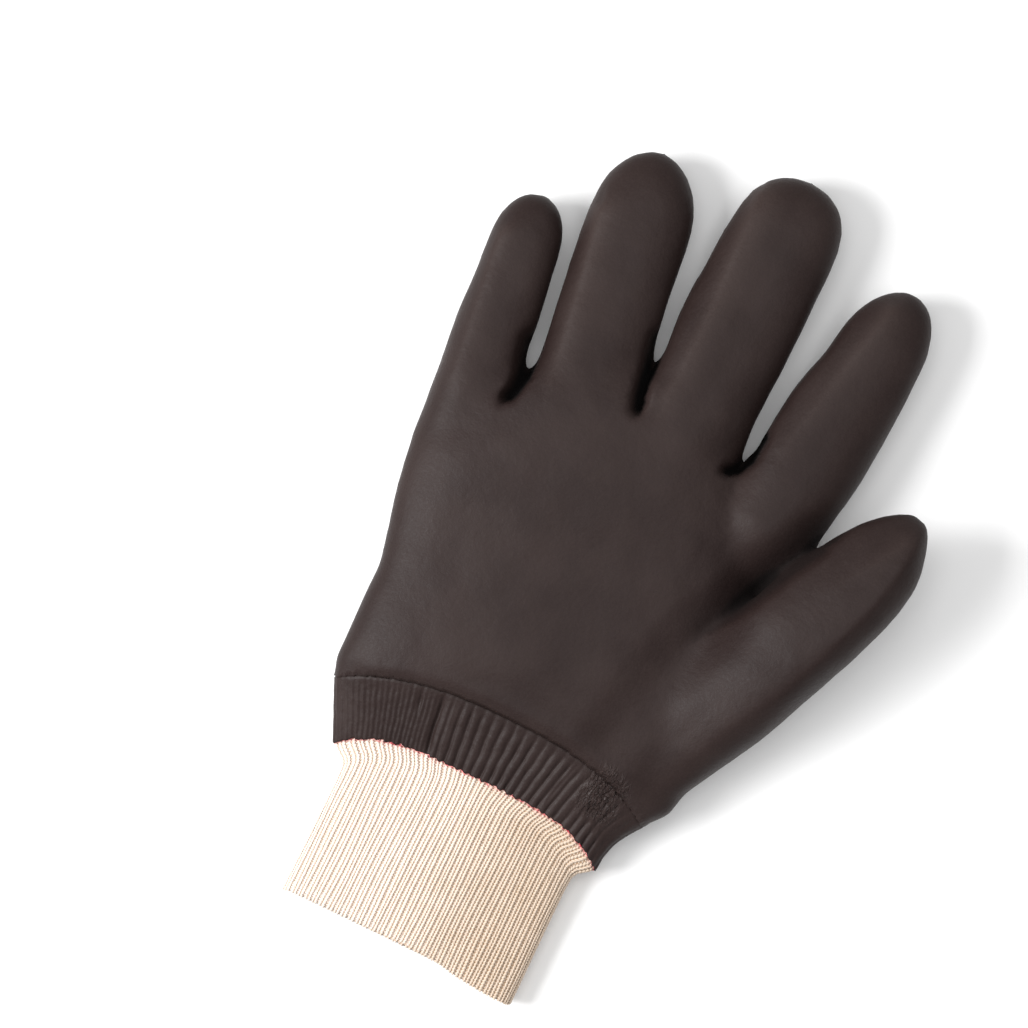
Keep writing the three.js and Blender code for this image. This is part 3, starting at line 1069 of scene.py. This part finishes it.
    def _puff_edge(self) -> None:
        """Rolls the coat over the seam, more over the middle than at the sides."""
        skin = self.skin
        points = self.place.read(skin)
        normals = read_vertices(skin, "normal")
        ahead = points[:, 1] - self.seam.line_at(points)
        x, y, z = points.T
        over_middle = smoothstep((x + 34) / 30) * (1 - 0.85 * smoothstep((np.abs(x) - 36) / 12))
        at_side = smoothstep((np.abs(x) - 42) / 9)
        puff = self.puff * over_middle * np.exp(-(((ahead - 4.4) / 2.8) ** 2))
        tuck = self.tuck + self.middle_tuck * over_middle * smoothstep((z - 14) / 6)
        tuck = tuck * smoothstep(1 - ahead / (3.4 + 5.0 * at_side)) ** 1.3
        shift = np.where(ahead < 14, puff - tuck, 0)
        shift = np.where(shift > 0, shift * smoothstep(z / 3), shift)
        across = normals * (1, 0.2, 1)
        across /= np.linalg.norm(across, axis=1)[:, None]
        points += across * shift[:, None]
        x -= 1.9 * smoothstep(1 - ahead / 9) * smoothstep((x - 34) / 18)
        ahead = y - self.seam.line_at(points)
        rough = smoothstep(1.3 - np.abs(x - 38) / 6) * smoothstep(1.4 - ahead / 5) * (z > TOP_HEIGHT)
        points += normals * (self.crinkle * rough * noise_at(x / 0.9, y / 2.6, 0.0))[:, None]
        points[:, 2] = np.maximum(z, LEAST_HEIGHT)
        self.place.write(skin, points)
        store_values(skin, "crinkled", rough)


@dataclass
class RibbedBand:
    """The coat over the top of the knit wrist, whose ribs show through it.

    Attributes:
        columns_per_rib: How many faces each rib has across it.
        rows: How many faces the band has along it.
        fine_depth: How deep the finer grooves on the little finger's side are.
        rib_lift: How unevenly the ribs stand out.
        crinkle: How high the crinkles beside the heel of the thumb are.
        ripple: How high the ripples everywhere are.
        sunk: How far the band lies below its tube's wall.
        bead_drop: How far the bead's middle lies below that wall.
        folds: The X of each fold along the ribs, its width, its depth and how far along it starts.
    """

    place: GloveFrame
    ribs: int = 68
    columns_per_rib: int = 8
    rows: int = 38
    wall: float = 1.2
    rib_depth: float = 1.05
    fine_depth: float = 0.42
    rib_lift: float = 0.28
    crinkle: float = 0.6
    ripple: float = 0.1
    sunk: float = 0.1
    bead_drop: float = 0.7
    folds: tuple[tuple[float, float, float, float], ...] = (
        (-17.4, 0.9, 1.25, -0.1), (-23.4, 0.6, 0.7, 0.45), (21.5, 0.6, 0.4, 0.0),
    )
    stations: tuple[Station, ...] = (
        Station(0.0, 48.5, 45.25, 18.0, 9.8, 4.0),
        Station(0.92, 66.8, 53.5, 23.5, 11.5, 2.6),
        Station(1.0, 68.4, 53.2, 23.4, 11.6, 2.6),
    )
    tube: WristTube = field(init=False)

    def __post_init__(self) -> None:
        """Lofts the band's tube through its stations."""
        self.tube = WristTube(self.stations)

    def edge_at(self, share: Values) -> Values:
        """How far the ragged coat edge runs past its line along Y, at shares of the way round."""
        scallop = 0.3 * np.cos(FULL_TURN * share * self.ribs) * (0.6 + noise_round(share, 0.08))
        return scallop + 0.5 * noise_round(share, 0.05) + 0.4 * noise_round(share, 0.018, 5)

    def _patch_at(self, points: Points, along: Values) -> Values:
        """How strongly the coat is crinkled beside the heel of the thumb, from 0 to 1."""
        middle = smoothstep(1.25 - np.abs(points[:, 0] - 36.5) / 7)
        return middle * smoothstep((along - 0.22) / 0.2) * (points[:, 2] > TOP_HEIGHT)

    def relief_at(self, share: Values, along: Values) -> Values:
        """How far the ribbed surface lies from the tube's wall.

        Args:
            share: Places round the band.
            along: Places along it.

        Returns:
            The lift at each place.
        """
        flat = self.tube.place(share, along, np.zeros_like(share))
        x, y, z = flat.T
        top = z > TOP_HEIGHT
        phase = share * self.ribs + 0.07 * noise_at(share * 60, along * 4.5, 0.0)
        phase = phase + 0.1 * np.sin(along * 2.4 + share * 31)
        groove = 1 - np.abs(np.sin(math.pi * phase)) ** 0.55
        fine_groove = 1 - np.abs(np.sin(2 * math.pi * phase)) ** 0.8
        left = smoothstep((-x - 11) / 9) * top
        patch = self._patch_at(flat, along)
        side = smoothstep((x - 41) / 5) + 0.7 * smoothstep((-x - 46) / 6)
        calm_end = 1 - 0.7 * smoothstep((along - 0.72) / 0.2)
        strength = (1 - 0.85 * patch) * (1 - 0.6 * side) * calm_end
        each_rib = noise_at(np.floor(phase) * 0.37, 0.0, top * 9.0)
        uneven = 0.9 + 0.45 * each_rib + 0.25 * noise_at(phase / 2, along * 5, top * 3.0)
        ribbed = self.rib_depth * (1 - 0.9 * left) * groove + self.fine_depth * left * fine_groove
        lift = -ribbed * strength * uneven
        lift += self.rib_lift * each_rib * (1 - left) * strength
        flare = self.tube.size("half_width", along) / self.stations[0].half_width
        for spot, width, depth, start in self.folds:
            bent = x / flare - spot + 0.25 * np.sin(along * 5)
            held = smoothstep((1.0 - along) / 0.3) * smoothstep((along - start) / 0.3)
            lift -= depth * np.exp(-((bent / width) ** 2)) * top * held
        crinkle = noise_at(x, y / 3.2, 0.0) + 0.7 * noise_at(x / 0.6, y / 1.3, 7.0)
        lift += self.crinkle * patch * crinkle
        lift += self.ripple * noise_at(x / 1.6, y / 2.4, z / 3)
        deepest = -1.15 - 0.6 * smoothstep((along - 0.05) / 0.3)
        recess = 0.2 * smoothstep((x + 34) / 30) * (1 - smoothstep((np.abs(x) - 38) / 8))
        return np.maximum(lift, deepest) - self.sunk - recess * smoothstep((along - 0.7) / 0.25)

    def _wall_point(self, share: Values, along: Values) -> Points:
        """Points on the band's outer face.

        Args:
            share: Places round the band.
            along: Places along it.

        Returns:
            The points in the glove's frame.
        """
        points = self.tube.place(share, along, self.relief_at(share, along))
        across = points[:, 0] / self.tube.size("half_width", along)
        inwards = 2.1 * np.sin(math.pi * np.clip(along / 0.95, 0, 1)) + 1.1 * along
        points[:, 0] -= inwards * smoothstep((across - 0.6) / 0.4)
        points[:, 1] += self.edge_at(share) * smoothstep(1 - along / 0.25)
        points[:, 2] = np.maximum(points[:, 2], LEAST_HEIGHT)
        return points

    def build(self) -> Piece:
        """Builds the band.

        Returns:
            The finished piece.
        """
        columns = self.ribs * self.columns_per_rib
        band = rolled_grid("ribbed_band", columns, self.rows, self.place, self._wall_point)
        points = self.place.read(band)
        store_values(band, "crinkled", self._patch_at(points, (points[:, 1] - 57.5) / 18))
        apply_modifier(band, "SOLIDIFY", thickness=self.wall * MM, offset=-1, use_rim=True)
        shade_smooth(band)
        return band

    def _bead_point(self, share: Values, around: Values) -> Points:
        """Points on the bead of dye.

        Args:
            share: Places round the band.
            around: Places round the bead.

        Returns:
            The points in the glove's frame.
        """
        x = self.tube.place(share, share * 0, share * 0)[:, 0]
        strong = 0.3 + 0.55 * np.exp(-(((x + 10) / 15) ** 2)) + 0.45 * np.exp(-(((x - 34) / 9) ** 2))
        blobs = noise_round(share, 0.035) + 0.8 * noise_round(share, 0.012, 3)
        radius = 0.04 + np.clip(0.04 + 0.5 * blobs, 0, 0.4) * strong
        angle = around * FULL_TURN
        along = np.full_like(share, -0.012)
        points = self.tube.place(share, along, radius * np.cos(angle) - self.bead_drop)
        points[:, 1] += np.minimum(self.edge_at(share), 0.7) - 0.05 + radius * np.sin(angle)
        points[:, 2] = np.maximum(points[:, 2], LEAST_HEIGHT)
        return points

    def dye_bead(self) -> Piece:
        """Builds the thin, broken bead of dye along the coat's edge."""
        return rolled_grid("dye_bead", self.ribs * self.columns_per_rib, 6, self.place, self._bead_point)

    def dress(self, band: Piece, bead: Piece, coat: Material, dye: Material) -> None:
        """Gives the band and its bead their finishes, hangs them under the root body and hides the imported
        band.

        Args:
            band: The finished band.
            bead: The bead of dye.
            coat: The band's material.
            dye: The bead's material.
        """
        for piece, material, slot in ((band, coat, Slot.RIBBED_COAT), (bead, dye, Slot.KNIT)):
            wear(piece, material)
            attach(piece, "root")
        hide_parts("coated_rib_band")


@dataclass
class KnitWrist:
    """The rib-knit wrist, knitted from single stitches over a base that shows between them.

    Attributes:
        turned_rows: How many rows go on round the mouth to the inside.
        tucked_rows: How many rows go on under the band.
        panels: How many pieces the stitches are made in.
        thread: The thread's half thickness.
        coat_line: The coat's edge, as the stain on the knit follows it.
        lined: How far the base goes on inside the mouth.
        tucked: How far the base goes on under the band.
        sunk: How far the base and the stitches are sunk under the band.
        hem_line: Places across the mouth, and how far the hem is shifted along Y there.
    """

    place: GloveFrame
    wales: int = 68
    rows: int = 60
    turned_rows: int = 7
    tucked_rows: int = 2
    panels: int = 4
    wall: float = 1.7
    thread: float = 0.34
    pitch: float = 2.35
    row_pitch: float = 0.86
    swell: float = 0.55
    coat_line: Station = Station(0.0, 48.5, 45.25, 16.0, 9.8, 4.0)
    lined: float = 40.0
    tucked: float = 9.0
    sunk: tuple[float, float] = (1.3, 1.2)
    stations: tuple[Station, ...] = (
        Station(0.0, 0.0, 39.75, 14.0, 1.5, 4.0),
        Station(0.78, 38.0, 39.4, 14.2, 8.0, 4.0),
        Station(0.87, 42.5, 39.7, 14.7, 8.9, 4.0),
        Station(0.91, 44.3, 40.7, 15.3, 9.2, 4.0),
        Station(0.95, 46.0, 43.0, 16.2, 9.5, 4.0),
        Station(0.975, 47.2, 44.3, 16.8, 9.6, 4.0),
        Station(1.0, 48.5, 44.7, 17.1, 9.8, 4.0),
        Station(1.1, 53.0, 45.2, 18.0, 10.0, 3.6),
        Station(1.4, 68.0, 50.0, 20.0, 11.5, 3.0),
    )
    hem_line: Path = (
        (-39.5, 0.6), (-36, 0.9), (-28, 0.7), (-18, 0.5), (-8, 0.8), (2, 1.1), (8, 0.9), (14, 0.0),
        (20, -1.2), (27, -1.7), (34, -1.7), (38, -1.2), (39.5, -0.6),
    )
    tube: WristTube = field(init=False)

    def __post_init__(self) -> None:
        """Lofts the knit's tube through its stations."""
        self.tube = WristTube(self.stations, self.swell)

    def lay(self, share: Values, along: Values, lift: Values) -> Points:
        """Lays flat knit round the wrist, and turns it in at the mouth.

        Args:
            share: How far round.
            along: How far along, where less than 0 goes round the mouth to the inside.
            lift: How far out from the knit's outer face.

        Returns:
            The points in the glove's frame.
        """
        radius = self.wall / 2
        past = np.clip(-along * self.coat_line.y / radius, 0, None)
        turn = np.minimum(past, math.pi)
        inner = np.clip(past - math.pi, 0, None) * radius
        out = -radius + (radius + lift) * np.cos(turn)
        points = self.tube.place(share, np.clip(along, 0, None), out)
        points[:, 1] += radius - (radius + lift) * np.sin(turn) + inner
        hem = smoothstep(1 - np.abs(along) * 3) * smoothstep(points[:, 2] / 6)
        points[:, 1] += hem * np.interp(points[:, 0], *zip(*self.hem_line))
        return points

    def _base_point(self, share: Values, along: Values) -> Points:
        """Points on the base.

        Args:
            share: Places round the base.
            along: Places along it, from deep inside the mouth to under the band.

        Returns:
            The points in the glove's frame.
        """
        length = self.coat_line.y
        start = -(math.pi * self.wall / 2 + self.lined) / length
        end = 1 + self.tucked / length
        at = start + (end - start) * along
        rib = -0.16 * np.cos(FULL_TURN * share * self.wales)
        inside = smoothstep(-at * length / (self.wall * 2))
        sunk = self.sunk[0] * smoothstep((at - 1.0) * length / 1.5)
        return self.lay(share, at, -0.72 + rib + 0.3 * inside - sunk)

    def _mark(self, piece: Piece) -> None:
        """Stores what the thread's finish reads: the depth below the coat and the side with painted shade.

        Args:
            piece: The base or a panel.
        """
        points = self.place.read(piece)
        store_values(piece, "below_coat", self.coat_line.line_at(points) - points[:, 1])
        store_values(piece, "shaded", smoothstep((points[:, 0] + 22) / 55))

    def base(self) -> Piece:
        """The plain tube behind the stitches, with a low rib.

        Returns:
            The finished piece.
        """
        tube = rolled_grid("knit_base", self.wales * 6, 110, self.place, self._base_point)
        self._mark(tube)
        # painted shade: the whole base is marked to take the darker colour of the holes
        store_values(tube, "behind", np.ones(len(tube.data.vertices)))
        return tube

    def _stitch(self) -> Piece:
        """Makes one stitch laid flat: two legs in a V and the loop to the next wale.

        Returns:
            The stitch, whose units stand for millimetres.
        """
        stitch = add_piece(
            "stitch", bpy.ops.mesh.primitive_circle_add, vertices=5, radius=self.thread, fill_type="NGON",
            rotation=(1.2, 0, -0.5),
        )
        bpy.ops.object.transform_apply(location=False, rotation=True, scale=False)
        with editing(stitch):
            bpy.ops.transform.translate(value=(0.2, -0.34, -0.42))
            for step in ((0.14, 0.30, 0.34), (0.24, 0.50, 0.06), (0.16, 0.34, -0.34)):
                bpy.ops.mesh.extrude_region_move(TRANSFORM_OT_translate={"value": step})
            bpy.ops.mesh.select_all(action="SELECT")
            bpy.ops.mesh.normals_make_consistent(inside=False)
        apply_modifier(stitch, "MIRROR", use_axis=(True, False, False), use_mirror_merge=False)
        with editing(stitch, np.zeros(len(stitch.data.vertices))):
            bpy.ops.mesh.primitive_cylinder_add(
                vertices=4, radius=self.thread * 0.75, depth=1.4, rotation=(0, math.pi / 2, 0),
                location=(self.pitch / 2 - 0.005, 0.3, -0.5),
            )
        return stitch

    def stitches(self) -> list[Piece]:
        """Repeats the stitch over the wrist, in panels.

        Returns:
            The finished pieces.
        """
        wales = self.wales // self.panels
        all_rows = self.turned_rows + self.rows + self.tucked_rows
        panels = []
        for index in range(self.panels):
            panel = self._stitch()
            for count, step in ((wales, (self.pitch, 0, 0)), (all_rows, (0, self.row_pitch, 0))):
                apply_modifier(
                    panel, "ARRAY", count=count, use_relative_offset=False, use_constant_offset=True,
                    constant_offset_displace=step,
                )
            flat = read_vertices(panel)
            share = (index * wales + 0.5 + flat[:, 0] / self.pitch) / self.wales
            along = (flat[:, 1] / self.row_pitch - self.turned_rows) / self.rows
            wander = noise_at(share * 40, along * 2, 0.0)
            jitter = noise_at(share * 170, along * 60, 3.0)
            share = share + (0.22 * wander + 0.05 * jitter) / self.wales
            sunk = self.sunk[1] * smoothstep((along - 1.0) * 40)
            self.place.write(panel, self.lay(share, along, flat[:, 2] - self.thread + 0.07 * jitter - sunk))
            panel.name = f"knit_stitches_{index + 1}"
            shade_smooth(panel)
            self._mark(panel)
            panels.append(panel)
        return panels

    def dress(self, pieces: Sequence[Piece], cotton: Material) -> None:
        """Gives the knit its finish, hangs its pieces under the root body and hides the imported knit wrist.

        Args:
            pieces: The base and the panels.
            cotton: Their material.
        """
        for piece in pieces:
            wear(piece, cotton)
            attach(piece, "root")
        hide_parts("knit_wrist")


@dataclass
class PhotoStudio:
    """The floor, the camera and the lights.

    Attributes:
        turn: How far the glove is turned clockwise in the picture, in degrees.
        middle: Where the middle of the picture falls, in the glove's frame.
        width: How wide the picture is at the glove.
        sky: The strength of the even white light all round.
        lamps: Each lamp's name, its place and size in metres, and its power in watts.
    """

    place: GloveFrame
    turn: float = 26.0
    middle: tuple[float, float, float] = (-25.7, 136.3, 14.0)
    width: float = 316.0
    lens: float = 200.0
    sky: float = 0.54
    lamps: tuple[tuple[str, tuple[float, float, float], float, float], ...] = (
        ("key", (-0.62, -0.26, 0.62), 0.45, 11.0),
        ("top", (0.0, 0.3, 1.9), 1.4, 14.0),
    )

    def camera(self) -> None:
        """Adds the camera, straight above the glove."""
        data = bpy.data.cameras.new("camera")
        data.lens = self.lens
        data.clip_end = 50
        camera = bpy.data.objects.new("camera", data)
        bpy.context.collection.objects.link(camera)
        target = self.place.to_scene(np.array([self.middle]))[0]
        distance = self.lens / data.sensor_width * self.width * MM
        camera.location = Vector(target) + Vector((0, 0, distance))
        camera.rotation_euler = (0, 0, math.radians(self.turn))
        bpy.context.scene.camera = camera

    def lights(self) -> None:
        """Adds a soft lamp on the little finger's side, one above and the even light."""
        world = bpy.data.worlds.new("studio")
        bpy.context.scene.world = world
        world.use_nodes = True
        background = world.node_tree.nodes["Background"]
        background.inputs["Color"].default_value = (1, 1, 1, 1)
        background.inputs["Strength"].default_value = self.sky
        for name, spot, size, power in self.lamps:
            data = bpy.data.lights.new(name, "AREA")
            data.size = size
            data.energy = power
            light = bpy.data.objects.new(name, data)
            bpy.context.collection.objects.link(light)
            light.location = spot
            light.rotation_euler = (-Vector(spot)).to_track_quat("-Z", "Y").to_euler()

    def floor(self) -> None:
        """Adds the floor."""
        floor = add_piece("floor", bpy.ops.mesh.primitive_plane_add, size=8)
        wear(floor, FloorFinish().material())

    def build(self) -> None:
        """Sets the whole studio up."""
        self.floor()
        self.camera()
        self.lights()
        bpy.context.scene.view_settings.view_transform = "Standard"


def main() -> None:
    """Builds the glove, piece by piece, and the studio round it."""
    logging.basicConfig(level=logging.INFO, format="%(name)s: %(message)s")
    place = GloveFrame.from_cuff()
    PhotoStudio(place).build()

    hand = DippedHand(place)
    skin = hand.build()
    hand.dress(CoatFinish().material(), LiningFinish().material())
    LOG.info("hand: %d faces", len(skin.data.polygons))

    band_maker = RibbedBand(place)
    band = band_maker.build()
    bead = band_maker.dye_bead()
    film = CoatFinish(name="ribbed_dipped_plastic", roughness=0.47)
    band_maker.dress(band, bead, film.material(), DyeFinish().material())
    LOG.info("band: %d faces, bead: %d faces", len(band.data.polygons), len(bead.data.polygons))

    knit = KnitWrist(place)
    pieces = [knit.base(), *knit.stitches()]
    knit.dress(pieces, KnitFinish().material())
    LOG.info("knit: %d pieces, %d faces", len(pieces), sum(len(piece.data.polygons) for piece in pieces))


if __name__ == "__main__":
    main()
